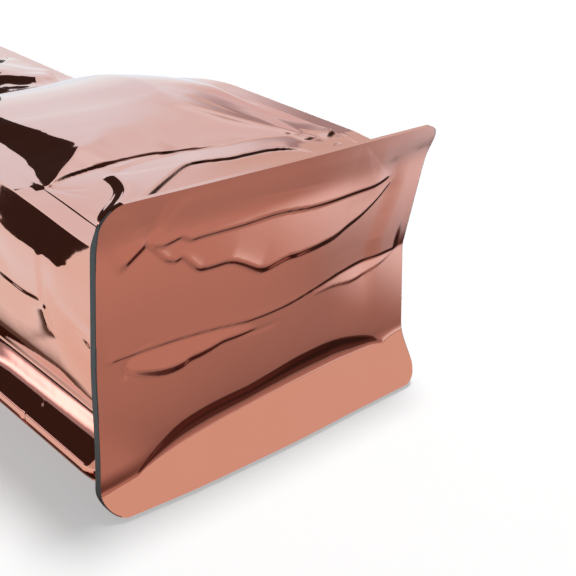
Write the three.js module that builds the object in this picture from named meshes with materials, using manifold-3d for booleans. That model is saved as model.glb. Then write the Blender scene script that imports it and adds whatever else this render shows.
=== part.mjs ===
// Filled flat-bottom pouch of copper-coloured metallised film, shut, lying on its back panel.
// Millimetres. X runs across the pouch, Y from its base panel to its top seal, and Z up from
// the surface it lies on. The shape is worked out about the base's middle fold and moved to
// its resting place at the end.

import * as THREE from 'three';
import { ParametricGeometry } from 'three/addons/geometries/ParametricGeometry.js';
import { mergeGeometries, mergeVertices } from 'three/addons/utils/BufferGeometryUtils.js';
import Module from 'manifold-3d';

const { clamp, lerp, smoothstep } = THREE.MathUtils;

// Driving dimensions
const pouchWidth = 140; // over the four corner seals
const pouchLength = 342; // from the base panel to the top edge
const cornerSealWidth = 8;
const cornerSealThickness = 1;
const cornerSealNeck = 3.2; // width left where a seal runs into the base
const cornerSealRun = 8; // length over which it reaches its full width
const bodyHalfDepth = 37; // middle plane to a corner seal, where the pouch is full
const restDepth = 51; // base's middle fold down to the surface that the pouch lies on

// Base panel: a flanged sheet with a fold across its middle
const baseAbove = 49; // fold to the front flange's edge
const baseBelow = 50; // fold to the back flange's edge
const baseThickness = 1.8;
const baseCornerRadius = 8;
const frontFlange = { root: 36, flare: 1.6 }; // height above the fold, lean away from the body
const backFlange = { root: 33, flare: 7.5 };
const foldPush = 11.5; // how far the fold is pushed in at the right edge
const foldPushBelow = 70; // height over which the push fades out below the fold
const foldPushStart = -20; // where the push begins, across the fold
const baseCrown = 2.5; // how far each half of the panel stands out between its seals

// Fill: the pouch is full up to the shoulder and flat beyond it
const shoulder = { start: 100, end: 238 };
const headerHalfDepth = 3;
const headerLift = 5; // the flat top is held this much above the fold
const frontCrown = 7; // front panel over its corner seals
const frontCrownPower = 2.4;
const headerCrownShare = 0.2; // of the front crown, left in the flat top
const frontDip = 2.5; // how far the front corner seals come down where they run into the base
const frontTilt = 0.02; // fall of the front panel from left to right
const backSag = 22; // back panel under its corner seals, before it meets the surface
const backSagPower = 4;
const baseReach = 40; // length over which the panels take up the base panel's form

// Side gussets: they stand out a little where the pouch is full and fold in where it is flat
const gussetBulge = 4;
const gussetBulgeEnd = 130;
const gussetFoldShare = 0.75;

// Top seal and press-to-close zip
const sealHalfThickness = 1.1;
const sealShare = 0.6; // most of a half depth that a corner seal's thickness may take
const sealBand = { start: 300, end: 318 };
const zip = { start: 286, width: 13, rise: 0.9, ramp: 2, sideFade: 4 }; // sideFade: steepness of its ends

// Mesh counts
const acrossPanel = 16;
const acrossGusset = 8;
const cornerSteps = 4;
const baseRows = 12;

const sealEdge = pouchWidth / 2;
const panelEdge = sealEdge - cornerSealWidth;

// Evenly spaced values from one limit up to, but without, the next
function spread(from, to, count) {
  return Array.from({ length: count }, (_, i) => lerp(from, to, i / count));
}

// Value at a share of the way along a list of values
function along(values, share) {
  const place = share * (values.length - 1);
  const index = Math.min(Math.floor(place), values.length - 2);
  return lerp(values[index], values[index + 1], place - index);
}

// How far the base panel's inner face stands back from its plane, at a point across and above the fold
function basePanelDepth(x, z) {
  const fade = z > 0 ? 1 - z / baseAbove : 1 + z / foldPushBelow;
  const push = foldPush * smoothstep(x, foldPushStart, sealEdge) * Math.max(fade, 0);
  const front = frontFlange.flare * smoothstep(z, frontFlange.root, baseAbove);
  const back = backFlange.flare * smoothstep(-z, backFlange.root, baseBelow);
  const halfMiddle = frontFlange.root / 2;
  const overHalf = Math.max(1 - ((Math.abs(z) - halfMiddle) / halfMiddle) ** 2, 0);
  const overWidth = Math.max(1 - (x / panelEdge) ** 2, 0);
  return push - front - back - baseCrown * overHalf * overWidth;
}

// Half the base panel's width at a height, narrower within its rounded corners
function baseHalfWidth(z) {
  const toEdge = z > 0 ? baseAbove - z : z + baseBelow;
  const into = Math.max(baseCornerRadius - toEdge, 0);
  const round = baseCornerRadius - Math.sqrt(Math.max(baseCornerRadius ** 2 - into ** 2, 0));
  return sealEdge - round;
}

// Half the depth between the corner seals at a distance from the base
function halfDepth(y) {
  const filled = lerp(bodyHalfDepth, headerHalfDepth, smoothstep(y, shoulder.start, shoulder.end));
  return lerp(filled, sealHalfThickness, smoothstep(y, sealBand.start, sealBand.end));
}

function middleHeight(y) {
  return headerLift * smoothstep(y, shoulder.start, shoulder.end);
}

// Where a corner seal leaves the panel: the panel takes up its width in the top seal
function sealRoot(y) {
  return lerp(panelEdge, sealEdge - sealHalfThickness, smoothstep(y, zip.start, sealBand.end));
}

function sealTip(y) {
  const necked = panelEdge + lerp(cornerSealNeck, cornerSealWidth, smoothstep(y, 0, cornerSealRun));
  return Math.min(necked, sealEdge);
}

function zipRise(y) {
  const far = zip.start + zip.width;
  return zip.rise * (smoothstep(y, zip.start, zip.start + zip.ramp) - smoothstep(y, far - zip.ramp, far));
}

function sealThickness(y) {
  return Math.min(cornerSealThickness, sealShare * halfDepth(y));
}

// Share of a panel's free form at a distance from the base: none at the base panel or the top seal
function freedom(y) {
  return smoothstep(y, 0, baseReach) * (1 - smoothstep(y, zip.start, sealBand.end));
}

function frontHeight(share, y) {
  const kept = lerp(1, headerCrownShare, smoothstep(y, shoulder.start, shoulder.end));
  const crown = frontCrown * freedom(y) * kept;
  const across = 1 - Math.abs(share) ** frontCrownPower;
  const raised = zipRise(y) * Math.min(across * zip.sideFade, 1);
  return middleHeight(y) + halfDepth(y) + crown * across + raised;
}

function backHeight(share, y) {
  const sag = backSag * freedom(y) * (halfDepth(y) / bodyHalfDepth);
  const across = 1 - Math.abs(share) ** backSagPower;
  const raised = zipRise(y) * Math.min(across * zip.sideFade, 1);
  return Math.max(middleHeight(y) - halfDepth(y) - sag * across - raised, -restDepth);
}

// Half-width of a gusset at a share of the way across it, 1 at the front seal and -1 at the back
function gussetReach(share, y) {
  const slack = Math.sqrt(Math.max(bodyHalfDepth ** 2 - halfDepth(y) ** 2, 0));
  const open = 1 - smoothstep(y, sealBand.start, sealBand.end);
  const folded = gussetFoldShare * slack * open * (1 - Math.abs(share));
  const bulge = gussetBulge * (1 - smoothstep(y, shoulder.start / 2, gussetBulgeEnd)) * (1 - share ** 2);
  return sealRoot(y) - folded + bulge;
}

// Sets a point on the body, with the front's dip and tilt, following the base panel near the base
function place(target, x, y, z) {
  const rise = (clamp((z - middleHeight(y)) / halfDepth(y), -1, 1) + 1) / 2;
  const follow = 1 - smoothstep(y, 0, baseReach);
  const tilt = frontTilt * x * (halfDepth(y) / bodyHalfDepth);
  const height = z - rise * (frontDip * follow + tilt);
  const depth = basePanelDepth(x, height) - baseThickness / 2;
  return target.set(x, y + depth * follow, height);
}

// Distances from the base where the body's sections are worked out
const stations = [
  ...spread(0, cornerSealRun, 3),
  ...spread(cornerSealRun, shoulder.end, 18),
  ...spread(shoulder.end, zip.start, 3),
  ...spread(zip.start, zip.start + zip.ramp, 1),
  ...spread(zip.start + zip.ramp, zip.start + zip.width - zip.ramp, 1),
  ...spread(zip.start + zip.width - zip.ramp, zip.start + zip.width, 1),
  ...spread(zip.start + zip.width, sealBand.end, 4),
  sealBand.end,
  pouchLength,
];

// Heights on the base panel, closer together in its rounded corners
const cornerTurns = spread(0, Math.PI / 2, cornerSteps);
const cornerRises = cornerTurns.map((turn) => baseCornerRadius * (1 - Math.cos(turn)));
const baseHeights = [
  ...cornerRises.map((rise) => rise - baseBelow),
  ...spread(baseCornerRadius - baseBelow, baseAbove - baseCornerRadius, baseRows),
  baseAbove - baseCornerRadius,
  ...cornerRises.toReversed().map((rise) => baseAbove - rise),
];

// Heights of a section's side, from the back panel's edge up to the front panel's
function sideHeight(row, y) {
  const edge = halfDepth(y);
  const inner = edge - sealThickness(y);
  const shares = [-1, ...spread(-inner / edge, inner / edge, acrossGusset), inner / edge, 1];
  return middleHeight(y) + edge * along(shares, row);
}

function sideReach(row, y) {
  const inner = halfDepth(y) - sealThickness(y);
  const share = (sideHeight(row, y) - middleHeight(y)) / inner;
  return gussetReach(clamp(share, -1, 1), y);
}

function panel(toPoint, slices, stacks) {
  const geometry = new ParametricGeometry(toPoint, slices, stacks);
  geometry.deleteAttribute('normal');
  geometry.deleteAttribute('uv');
  return geometry;
}

// Front or back panel, between its two corner seals
function bodyPanel(height, turn) {
  return panel((u, v, target) => {
    const y = along(stations, v);
    const share = turn * (2 * u - 1);
    place(target, share * sealRoot(y), y, height(share, y));
  }, acrossPanel, stations.length - 1);
}

function gusset(side) {
  return panel((u, v, target) => {
    const y = along(stations, v);
    const share = side * (1 - 2 * u);
    const inner = halfDepth(y) - sealThickness(y);
    place(target, side * gussetReach(share, y), y, middleHeight(y) + share * inner);
  }, acrossGusset, stations.length - 1);
}

// Corner seal: out along its outer face, round its tip and back along its inner face
function cornerSeal(side, level) {
  return panel((u, v, target) => {
    const y = along(stations, v);
    const outer = level * halfDepth(y);
    const inner = level * (halfDepth(y) - sealThickness(y));
    const order = side * level > 0 ? u : 1 - u;
    const reach = along([sealRoot(y), sealTip(y), sealTip(y), sealRoot(y)], order);
    const height = along([outer, outer, inner, inner], order);
    place(target, side * reach, y, middleHeight(y) + height);
  }, 3, stations.length - 1);
}

// Closes the body at a station, with the part of the section between the corner seals
function sectionCap(y, turn) {
  return panel((u, v, target) => {
    const row = turn > 0 ? v : 1 - v;
    place(target, (2 * u - 1) * sideReach(row, y), y, sideHeight(row, y));
  }, acrossPanel, acrossGusset + 2);
}

// Closes a corner seal's end
function sealCap(side, level, y, turn) {
  return panel((u, v, target) => {
    const reach = lerp(sealRoot(y), sealTip(y), side * level * turn > 0 ? u : 1 - u);
    const height = level * lerp(halfDepth(y) - sealThickness(y), halfDepth(y), v);
    place(target, side * reach, y, middleHeight(y) + height);
  }, 1, 1);
}

// One face of the base panel
function baseFace(outward, turn) {
  return panel((u, v, target) => {
    const z = along(baseHeights, turn > 0 ? v : 1 - v);
    const x = (2 * u - 1) * baseHalfWidth(z);
    target.set(x, basePanelDepth(x, z) - outward, z);
  }, acrossPanel, baseHeights.length - 1);
}

// Edge of the base panel along its left or right side
function baseSide(side) {
  return panel((u, v, target) => {
    const z = along(baseHeights, side < 0 ? u : 1 - u);
    const x = side * baseHalfWidth(z);
    target.set(x, basePanelDepth(x, z) - (1 - v) * baseThickness, z);
  }, baseHeights.length - 1, 1);
}

// Edge of the base panel along its front or back flange
function baseEnd(z, turn) {
  return panel((u, v, target) => {
    const x = turn * (2 * u - 1) * baseHalfWidth(z);
    target.set(x, basePanelDepth(x, z) - (1 - v) * baseThickness, z);
  }, acrossPanel, 1);
}

const wasm = await Module();
wasm.setup();

// Joins panels that meet edge to edge into one solid
function solidFrom(panels) {
  const merged = mergeVertices(mergeGeometries(panels), 1e-3);
  const vertProperties = merged.attributes.position.array;
  const triVerts = Uint32Array.from(merged.index.array);
  return new wasm.Manifold(new wasm.Mesh({ numProp: 3, vertProperties, triVerts }));
}

function geometryFrom(solid) {
  const mesh = solid.getMesh();
  const geometry = new THREE.BufferGeometry();
  geometry.setAttribute('position', new THREE.BufferAttribute(mesh.vertProperties, 3));
  geometry.setIndex(new THREE.BufferAttribute(mesh.triVerts, 1));
  geometry.computeVertexNormals();
  return geometry;
}

const corners = [[1, 1], [1, -1], [-1, -1], [-1, 1]]; // side, front or back
const body = solidFrom([
  bodyPanel(frontHeight, 1),
  bodyPanel(backHeight, -1),
  gusset(1),
  gusset(-1),
  ...corners.map(([side, level]) => cornerSeal(side, level)),
  sectionCap(0, 1),
  sectionCap(pouchLength, -1),
  ...corners.map(([side, level]) => sealCap(side, level, 0, 1)),
  ...corners.map(([side, level]) => sealCap(side, level, pouchLength, -1)),
]);
const base = solidFrom([
  baseFace(baseThickness, 1),
  baseFace(0, -1),
  baseSide(-1),
  baseSide(1),
  baseEnd(baseAbove, 1),
  baseEnd(-baseBelow, -1),
]);

const pouchGeometry = geometryFrom(body.add(base));
pouchGeometry.computeBoundingBox();
const bounds = pouchGeometry.boundingBox;
pouchGeometry.translate(0, -(bounds.min.y + bounds.max.y) / 2, restDepth);

const copperFilm = new THREE.MeshStandardMaterial({ color: 0xc98a78, roughness: 0.12, metalness: 1 });
const pouch = new THREE.Mesh(pouchGeometry, copperFilm);
pouch.name = 'pouch';

const group = new THREE.Group();
group.add(pouch);

export default group;
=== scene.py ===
# Flat-bottom pouch in copper metallised film, lying on its back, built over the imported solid.
import math

import bpy
import numpy as np
from mathutils import Matrix, Vector


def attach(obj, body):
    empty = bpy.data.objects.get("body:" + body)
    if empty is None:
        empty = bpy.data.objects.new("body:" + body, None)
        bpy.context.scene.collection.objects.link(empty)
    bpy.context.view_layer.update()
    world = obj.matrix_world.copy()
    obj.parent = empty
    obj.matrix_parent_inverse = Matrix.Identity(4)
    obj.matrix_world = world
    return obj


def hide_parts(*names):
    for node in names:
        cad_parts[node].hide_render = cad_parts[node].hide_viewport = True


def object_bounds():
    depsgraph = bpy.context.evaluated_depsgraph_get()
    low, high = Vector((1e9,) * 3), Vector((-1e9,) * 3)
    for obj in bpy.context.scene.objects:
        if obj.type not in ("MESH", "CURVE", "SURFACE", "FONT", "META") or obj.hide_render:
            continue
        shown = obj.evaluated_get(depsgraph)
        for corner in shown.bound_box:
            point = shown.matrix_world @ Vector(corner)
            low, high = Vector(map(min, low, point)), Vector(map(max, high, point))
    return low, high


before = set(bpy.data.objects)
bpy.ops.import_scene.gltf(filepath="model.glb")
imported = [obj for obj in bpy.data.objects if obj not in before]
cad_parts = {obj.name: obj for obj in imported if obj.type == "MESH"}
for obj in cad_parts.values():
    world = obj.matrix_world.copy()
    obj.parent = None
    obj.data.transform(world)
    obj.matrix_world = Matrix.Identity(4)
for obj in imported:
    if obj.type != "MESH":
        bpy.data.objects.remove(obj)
cadLow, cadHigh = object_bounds()
print("packed frame loaded")

# Sizes are in millimetres in pouch space: x across, y up the pouch from its base, z from the side fold.
pouch = {
    "length": 342.0,
    "halfWidth": 70.0,
    "panelHalf": 62.0,           # where a corner seal starts
    "halfDepth": 37.0,
    "restDepth": 51.0,           # from the side fold down to what the pouch lies on
    "shoulder": (106.0, 238.0),  # where the filled body thins to the header
    "headerHalf": 3.0,
    "headerLift": 5.0,
    "topSeal": (300.0, 318.0),
    "sealHalf": 1.1,
    "baseReach": 40.0,           # how far up the body follows the base panel's shape
    "sharpAngle": 40,            # degrees, past which an edge is shaded sharp
}
baseShift = cadHigh.y * 1000 - pouch["length"]


def smooth(low, high, x):
    t = np.clip((x - low) / (high - low), 0.0, 1.0)
    return t * t * (3.0 - 2.0 * t)


def mix(a, b, t):
    return a + (b - a) * t


def bend(past, softness):
    # straight on one side, sloping on the other, with a soft turn between
    return np.logaddexp(0, past / softness) * softness


def toFrame(x, y, z):
    points = np.stack(np.broadcast_arrays(x, y + baseShift, z + pouch["restDepth"]), -1)
    return points.reshape(-1, 3) / 1000.0


# Creases and folds

def curveThrough(points, steps=7):
    # rounds a given line into a smooth one
    p = np.array(points, float)
    p = np.vstack([2 * p[0] - p[1], p, 2 * p[-1] - p[-2]])
    t = np.linspace(0, 1, steps, endpoint=False)[:, None]
    runs = []
    for a, b, c, d in zip(p, p[1:], p[2:], p[3:]):
        runs.append(b + 0.5 * t * (c - a + t * (2 * a - 5 * b + 4 * c - d + t * (3 * (b - c) + d - a))))
    return np.vstack(runs + [p[-2:-1]])


def along(points, at):
    # height of a given line
    line = curveThrough(points)
    return np.interp(at, line[:, 0], line[:, 1])


def besideLine(points, u, v):
    # distance from the line, positive on its left, and the share of the line already run
    line = curveThrough(points)
    lengths = np.hypot(*np.diff(line, axis=0).T)
    runs = np.concatenate([[0], np.cumsum(lengths)]) / lengths.sum()
    nearest = np.full(u.shape, np.inf)
    side = np.zeros(u.shape)
    run = np.zeros(u.shape)
    for i, ((au, av), (bu, bv)) in enumerate(zip(line, line[1:])):
        du, dv = bu - au, bv - av
        t = np.clip(((u - au) * du + (v - av) * dv) / (du * du + dv * dv), 0, 1)
        offU, offV = u - au - t * du, v - av - t * dv
        gap = np.hypot(offU, offV)
        closer = gap < nearest
        nearest = np.where(closer, gap, nearest)
        side = np.where(closer, np.sign(du * offV - dv * offU) * gap, side)
        run = np.where(closer, mix(runs[i], runs[i + 1], t), run)
    return side, run


def fading(run, taper):
    # full along the middle of a line, and nothing at its ends
    return smooth(0, taper[0], run) * smooth(0, taper[1], 1 - run)


def crease(u, v, line, width, taper=(0.2, 0.2), rounding=0.05):
    # a pressed line, sharp in the middle and fading to its ends
    side, run = besideLine(line, u, v)
    return fading(run, taper) * np.exp(-np.sqrt(side * side + rounding) / width)


def ledge(u, v, line, edge, reach, taper=(0.2, 0.2)):
    # film that stands proud along the line's left and falls back over its reach
    side, run = besideLine(line, u, v)
    proud = 0.5 * (1 + np.tanh(side / edge))
    return fading(run, taper) * proud * np.exp(-np.maximum(side, 0) / reach)


def fold(u, v, line, width, reach, taper=(0.2, 0.2)):
    # like a ledge, but with a straight face of the given width
    side, run = besideLine(line, u, v)
    proud = np.clip(side / width + 0.5, 0, 1)
    return fading(run, taper) * proud * np.exp(-np.maximum(side - width / 2, 0) / reach)


def dimple(u, v, centre, radii, turn=0.0):
    c, s = math.cos(math.radians(turn)), math.sin(math.radians(turn))
    a = ((u - centre[0]) * c + (v - centre[1]) * s) / radii[0]
    b = ((v - centre[1]) * c - (u - centre[0]) * s) / radii[1]
    return np.exp(-(a * a + b * b))


def pressed(u, v, marks):
    # a mark is its kind, how far it stands out, its line or centre, and the other values of that kind
    out = np.zeros(u.shape)
    for kind, height, where, *values in marks:
        out += height * kind(u, v, where, *values)
    return out


def ripple(u, v, seed, wavelength, count=7):
    # soft unevenness of filled film
    rng = np.random.default_rng(seed)
    total = np.zeros(np.broadcast(u, v).shape)
    for _ in range(count):
        turn, phase = rng.uniform(0, 2 * math.pi, 2)
        step = 2 * math.pi / (wavelength * rng.uniform(0.7, 1.4))
        total += np.sin((u * math.cos(turn) + v * math.sin(turn)) * step + phase)
    return total / count


# Base panel

basePanel = {
    "above": 49.0,
    "below": 50.0,
    "thickness": 1.8,
    "leastThickness": 0.5,            # where the film is dented deepest
    "cornerRadius": 8.0,
    "topFlange": (36.0, 0.28, 1.6),   # root height, slope and softness of the bend
    "lowFlange": (0.62, 0.5),         # slope and softness of the bend
    "lowRoot": [(-70, -42.4), (-56, -40.6), (-37, -38.0), (-14, -36.2), (7, -35.6), (70, -36.0)],
    "rightFlare": (9.2, 30.5, 53.0),  # at the right the lower flange sweeps out in one curve
    "rightFlareFrom": (42, 68),       # across the panel, from none of that curve to all of it
    "tilt": (1.9, 30, 100),           # the left edge stands forward: how far, from where, over what width
    "lean": 2.0,                      # and its lower end more so
    "leanAcross": (0, -66),
    "leanDown": (2, -34),
    "foldPush": 9.8,                  # the middle fold is pushed in on one side
    "foldStart": 4.0,
    "foldSoft": 9.0,
    "foldReachUp": 68.0,
    "foldReachDown": 72.0,
    "reliefFade": (0, 6),             # creases fade out towards the side and top edges
    "unevenness": (0.07, 4, 34),      # height, seed and wavelength
    "grid": (260, 184),
}


def basePush(x, z):
    ramp = bend(x - basePanel["foldStart"], basePanel["foldSoft"])
    ramp = ramp / (pouch["halfWidth"] - basePanel["foldStart"])
    up = 1 - z / basePanel["foldReachUp"]
    down = 1 + z / basePanel["foldReachDown"]
    return basePanel["foldPush"] * ramp * np.clip(np.minimum(up, down), 0, None)


def baseFlare(x, z):
    root, slope, soft = basePanel["topFlange"]
    top = slope * bend(z - root, soft)
    slope, soft = basePanel["lowFlange"]
    low = slope * bend(along(basePanel["lowRoot"], x) - z, soft)
    sweep, start, end = basePanel["rightFlare"]
    low = mix(low, sweep * smooth(-start, -end, z), smooth(*basePanel["rightFlareFrom"], x))
    lean = basePanel["lean"] * smooth(*basePanel["leanDown"], z) * smooth(*basePanel["leanAcross"], x)
    tilt, start, reach = basePanel["tilt"]
    return top + low + lean + tilt * np.clip((start - x) / reach, 0, 1)


def baseDepth(x, z):
    # how far the film lies behind the base plane, before its creases
    return basePush(x, z) - baseFlare(x, z)


upperLens = {
    "upper": [(-54, 33.8), (-48.7, 32.1), (-44.8, 32.4), (-41.4, 32.9), (-38, 31.4), (-33, 31.4),
              (-19, 31.3), (-3, 31.6), (14, 30.0), (34, 29.8), (44, 29.9), (52, 31.4), (55, 32.0)],
    "lower": [(-54, 33.6), (-50, 30.3), (-46.6, 27.1), (-43.2, 25.9), (-40.5, 26.2), (-37.7, 23.9),
              (-34.8, 21.5), (-31.2, 20.8), (-22.4, 20.6), (-17.8, 18.8), (-11.3, 15.4), (-7.2, 14.6),
              (1.9, 15.7), (9, 15.4), (24, 16.2), (32, 18.2), (40, 20.4), (47.6, 24.2), (52.7, 28.6),
              (55, 31.7)],
    "slope": 0.05,
    "tuck": 0.47,
}
leftLip = {
    "upper": [(-60.5, -3.2), (-58, -0.9), (-55, 0.2), (-50, 0.3), (-41, -0.2), (-33, -0.5), (-26, -1.1),
              (-17, -2.2), (-8, -5.6)],
    "lower": [(-60.5, -3.4), (-58, -4.4), (-56, -5.0), (-52, -6.1), (-47.5, -7.1), (-43.5, -7.5),
              (-39.4, -7.3), (-36.7, -6.6), (-32.5, -6.4), (-28.3, -6.0), (-24, -5.4), (-21, -5.4),
              (-16, -5.8), (-8, -5.9)],
    "slope": 0.165,
    "tuck": 0.41,
}
rightLip = {
    "upper": [(18, -0.8), (28, 0.2), (41, 0.6), (55, 0.6), (66, 0.2)],
    "lower": [(18, -3.0), (28, -3.2), (39, -4.6), (48, -3.9), (57, -2.4), (66, 0.0)],
    "slope": 0.07,
    "tuck": 0.40,
}
lowHollow = {
    "upper": [(-57, -41.0), (-52, -36.0), (-45, -31.2), (-39, -28.6), (-30, -27.2), (-21, -26.8),
              (-11, -26.6), (-1, -25.4), (9.5, -24.2), (21, -24.0), (32, -24.8), (42, -27.0), (51, -30.0),
              (58, -34.0)],
    "slope": 0.30,
    "leastDeep": 0.01,
}

# the soft roll beside the right corner seal: its line as (height, x), and where it comes and goes
rightRoll = {
    "line": [(1.6, 49.7), (8, 49.6), (17.4, 53), (27, 55.4)],
    "depth": 1.0,
    "across": ((-38, -5), (6, -5)),
    "up": ((-24, 4), (40, 24)),
}

baseMarks = [
    # both creases of the upper lens, the lower one steeper where it runs down to the right
    (fold, 0.72, upperLens["upper"], 1.55, 8, (0.03, 0.1)),
    (fold, 0.42, [(x, z + 0.45) for x, z in upperLens["lower"]], 0.9, 12, (0.03, 0.1)),
    (fold, 0.26, [(-53.8, 33.4), (-50, 30.3), (-46.6, 27.1), (-44, 25.6)], 0.7, 1.6, (0.5, 0.3)),
    (fold, 0.26, [(-41, 26.6), (-37.7, 23.9), (-34.8, 21.5), (-32, 20.4)], 0.7, 1.6, (0.5, 0.3)),
    (fold, 0.32, [(-24, 21.0), (-17.8, 18.8), (-11.3, 15.4), (-8.5, 14.2)], 0.8, 3, (0.2, 0.2)),
    # fine lines on the upper flange, and the pinch at its left
    (crease, -0.10, [(-24, 40.3), (-7, 39.3), (6, 38.4), (22, 37.5)], 0.4, (0.3, 0.3)),
    (crease, -0.10, [(-59, 39.8), (-55, 39.9), (-52, 40.6)], 0.6),
    (fold, 1.0, [(-63.5, 26.5), (-57.5, 31), (-50.5, 35.5)], 2.2, 8, (0.4, 0.4)),
    # the middle fold, and the fine lines beside it
    (fold, 0.44, [(-68, 0.2), (-59, 0.4), (-50, 0.4), (-38, 0.0), (-26, -0.9), (-12, -2.4), (4, -2.2),
                  (18, -0.8), (41, 0.6), (66, 0.2)], 1.0, 6, (0.03, 0.03)),
    (crease, -0.10, [(-64, 0.8), (-59, 1.6), (-55, 2.2), (-50, 3.0)], 0.5),
    (crease, -0.25, [(-22, -6.2), (-16, -6.6), (-8, -7.2), (2, -7.0)], 0.6),
    (crease, -0.3, [(-60.2, -7.2), (-60.2, -4.4), (-60.4, -1.6)], 0.55, (0.3, 0.3)),
    # the root of the lower flange
    (crease, -0.12, basePanel["lowRoot"], 0.4, (0.05, 0.1)),
]


def within(x, line):
    return (x > line[0][0]) & (x < line[-1][0])


def lensFold(x, z, lens):
    # film that swells out from its upper crease and tucks back in under its lower one
    top = along(lens["upper"], x)
    foot = along(lens["lower"], x)
    swell = lens["slope"] * np.clip(top - z, 0, np.maximum(top - foot, 0))
    return within(x, lens["upper"]) * np.maximum(swell - lens["tuck"] * np.maximum(foot - z, 0), 0)


def lowerHollow(x, z):
    # film that turns in under a crease and comes out again to the lower flange
    top = along(lowHollow["upper"], x)
    deep = np.maximum(top - along(basePanel["lowRoot"], x), lowHollow["leastDeep"])
    share = np.clip((top - z) / deep, 0, 1)
    return within(x, lowHollow["upper"]) * lowHollow["slope"] * deep * (share - share ** 3)


def rollDepth(x, z):
    off = x - np.interp(z, *zip(*rightRoll["line"]))
    depth = rightRoll["depth"]
    for limits in rightRoll["across"]:
        depth = depth * smooth(*limits, off)
    for limits in rightRoll["up"]:
        depth = depth * smooth(*limits, z)
    return depth


def baseRelief(x, z):
    # how far the creased film stands out from the base
    out = lensFold(x, z, upperLens) + lensFold(x, z, leftLip) + lensFold(x, z, rightLip)
    out = out - lowerHollow(x, z) + pressed(x, z, baseMarks) - rollDepth(x, z)
    height, seed, wavelength = basePanel["unevenness"]
    return out + height * ripple(x, z, seed, wavelength)


def rowHalfWidth(z):
    radius = basePanel["cornerRadius"]
    past = np.maximum(z - (basePanel["above"] - radius), -z - (basePanel["below"] - radius))
    past = np.maximum(past, 0)
    return pouch["halfWidth"] - radius + np.sqrt(np.maximum(radius ** 2 - past ** 2, 0))


def gridFaces(rows, columns, start=0, flip=False):
    i, j = np.mgrid[0:rows - 1, 0:columns - 1]
    a = start + i * columns + j
    quads = np.stack([a, a + 1, a + columns + 1, a + columns], -1).reshape(-1, 4)
    return quads[:, ::-1] if flip else quads


def loopAround(rows, columns):
    # vertex numbers once round the edge of a grid
    ids = np.arange(rows * columns).reshape(rows, columns)
    return np.concatenate([ids[0, :-1], ids[:-1, -1], ids[-1, :0:-1], ids[:0:-1, 0]])


def newPiece(name, points, faces, material):
    mesh = bpy.data.meshes.new(name)
    mesh.from_pydata(points.tolist(), [], [f.tolist() for f in faces])
    mesh.update()
    mesh.polygons.foreach_set("use_smooth", [True] * len(mesh.polygons))
    mesh.set_sharp_from_angle(angle=math.radians(pouch["sharpAngle"]))
    mesh.materials.append(material)
    piece = bpy.data.objects.new(name, mesh)
    bpy.context.scene.collection.objects.link(piece)
    return piece


# the grey cut edge down each side of the base panel
baseRim = {
    "depth": 2.7,        # takes in the body's seal behind the panel
    "width": 0.35,
    "bevel": 0.15,
    "bare": (0.8, 1.6),  # left free at the lower and at the upper corner
    "steps": 120,
    "deepShare": [(-50, 0.6), (-44, 1), (36, 1), (46, 0.3)],  # height, and the share of the depth there
}


def makeBasePanel(material):
    columns, rows = basePanel["grid"]
    inset = baseRim["width"] * 0.5
    zLine = np.linspace(-basePanel["below"] + inset, basePanel["above"] - inset, rows)[:, None]
    reach = rowHalfWidth(zLine) - inset
    x = np.linspace(-1, 1, columns)[None, :] * reach
    z = zLine + 0 * x
    outer = baseDepth(x, z)
    inner = outer + basePanel["thickness"]
    fade = smooth(*basePanel["reliefFade"], pouch["halfWidth"] - np.abs(x))
    fade = fade * smooth(*basePanel["reliefFade"], basePanel["above"] - z)
    outer = outer - baseRelief(x, z) * fade
    inner = np.maximum(inner, outer + basePanel["leastThickness"])
    points = np.vstack([toFrame(x, outer, z), toFrame(x, inner, z)])
    count = rows * columns
    edge = loopAround(rows, columns)
    wall = np.stack([edge, np.roll(edge, -1), np.roll(edge, -1) + count, edge + count], -1)
    faces = list(gridFaces(rows, columns))
    faces += list(gridFaces(rows, columns, count, True))
    faces += list(wall[:, ::-1])
    return newPiece("base_panel", points, faces, material)


def makeBaseRim(side, name, material):
    lowBare, highBare = baseRim["bare"]
    z = np.linspace(-basePanel["below"] + lowBare, basePanel["above"] - highBare, baseRim["steps"])
    path = np.stack([side * rowHalfWidth(z), z], -1)
    ahead = np.gradient(path, axis=0)
    outward = side * np.stack([ahead[:, 1], -ahead[:, 0]], -1)
    outward /= np.linalg.norm(outward, axis=1)[:, None]
    thick, wide, bevel = baseRim["depth"], baseRim["width"], baseRim["bevel"]
    # the section, as (outward, behind the outer face)
    section = [(0, bevel), (0, thick - bevel), (-bevel, thick), (-wide, thick), (-wide, 0.0), (-bevel, 0.0)]
    deepShare = np.interp(z, *zip(*baseRim["deepShare"]))
    rings = []
    for out, behind in section:
        at = path + outward * out
        rings.append(toFrame(at[:, 0], baseDepth(at[:, 0], at[:, 1]) + behind * deepShare, at[:, 1]))
    n, m = len(path), len(section)
    i, j = np.mgrid[0:m, 0:n - 1]
    after = (i + 1) % m
    faces = np.stack([i * n + j, after * n + j, after * n + j + 1, i * n + j + 1], -1).reshape(-1, 4)
    ends = [np.arange(m)[::-1] * n, np.arange(m) * n + n - 1]
    if side < 0:
        faces = faces[:, ::-1]
        ends = [e[::-1] for e in ends]
    return newPiece(name, np.vstack(rings), list(faces) + ends, material)


# Body tube

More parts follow.
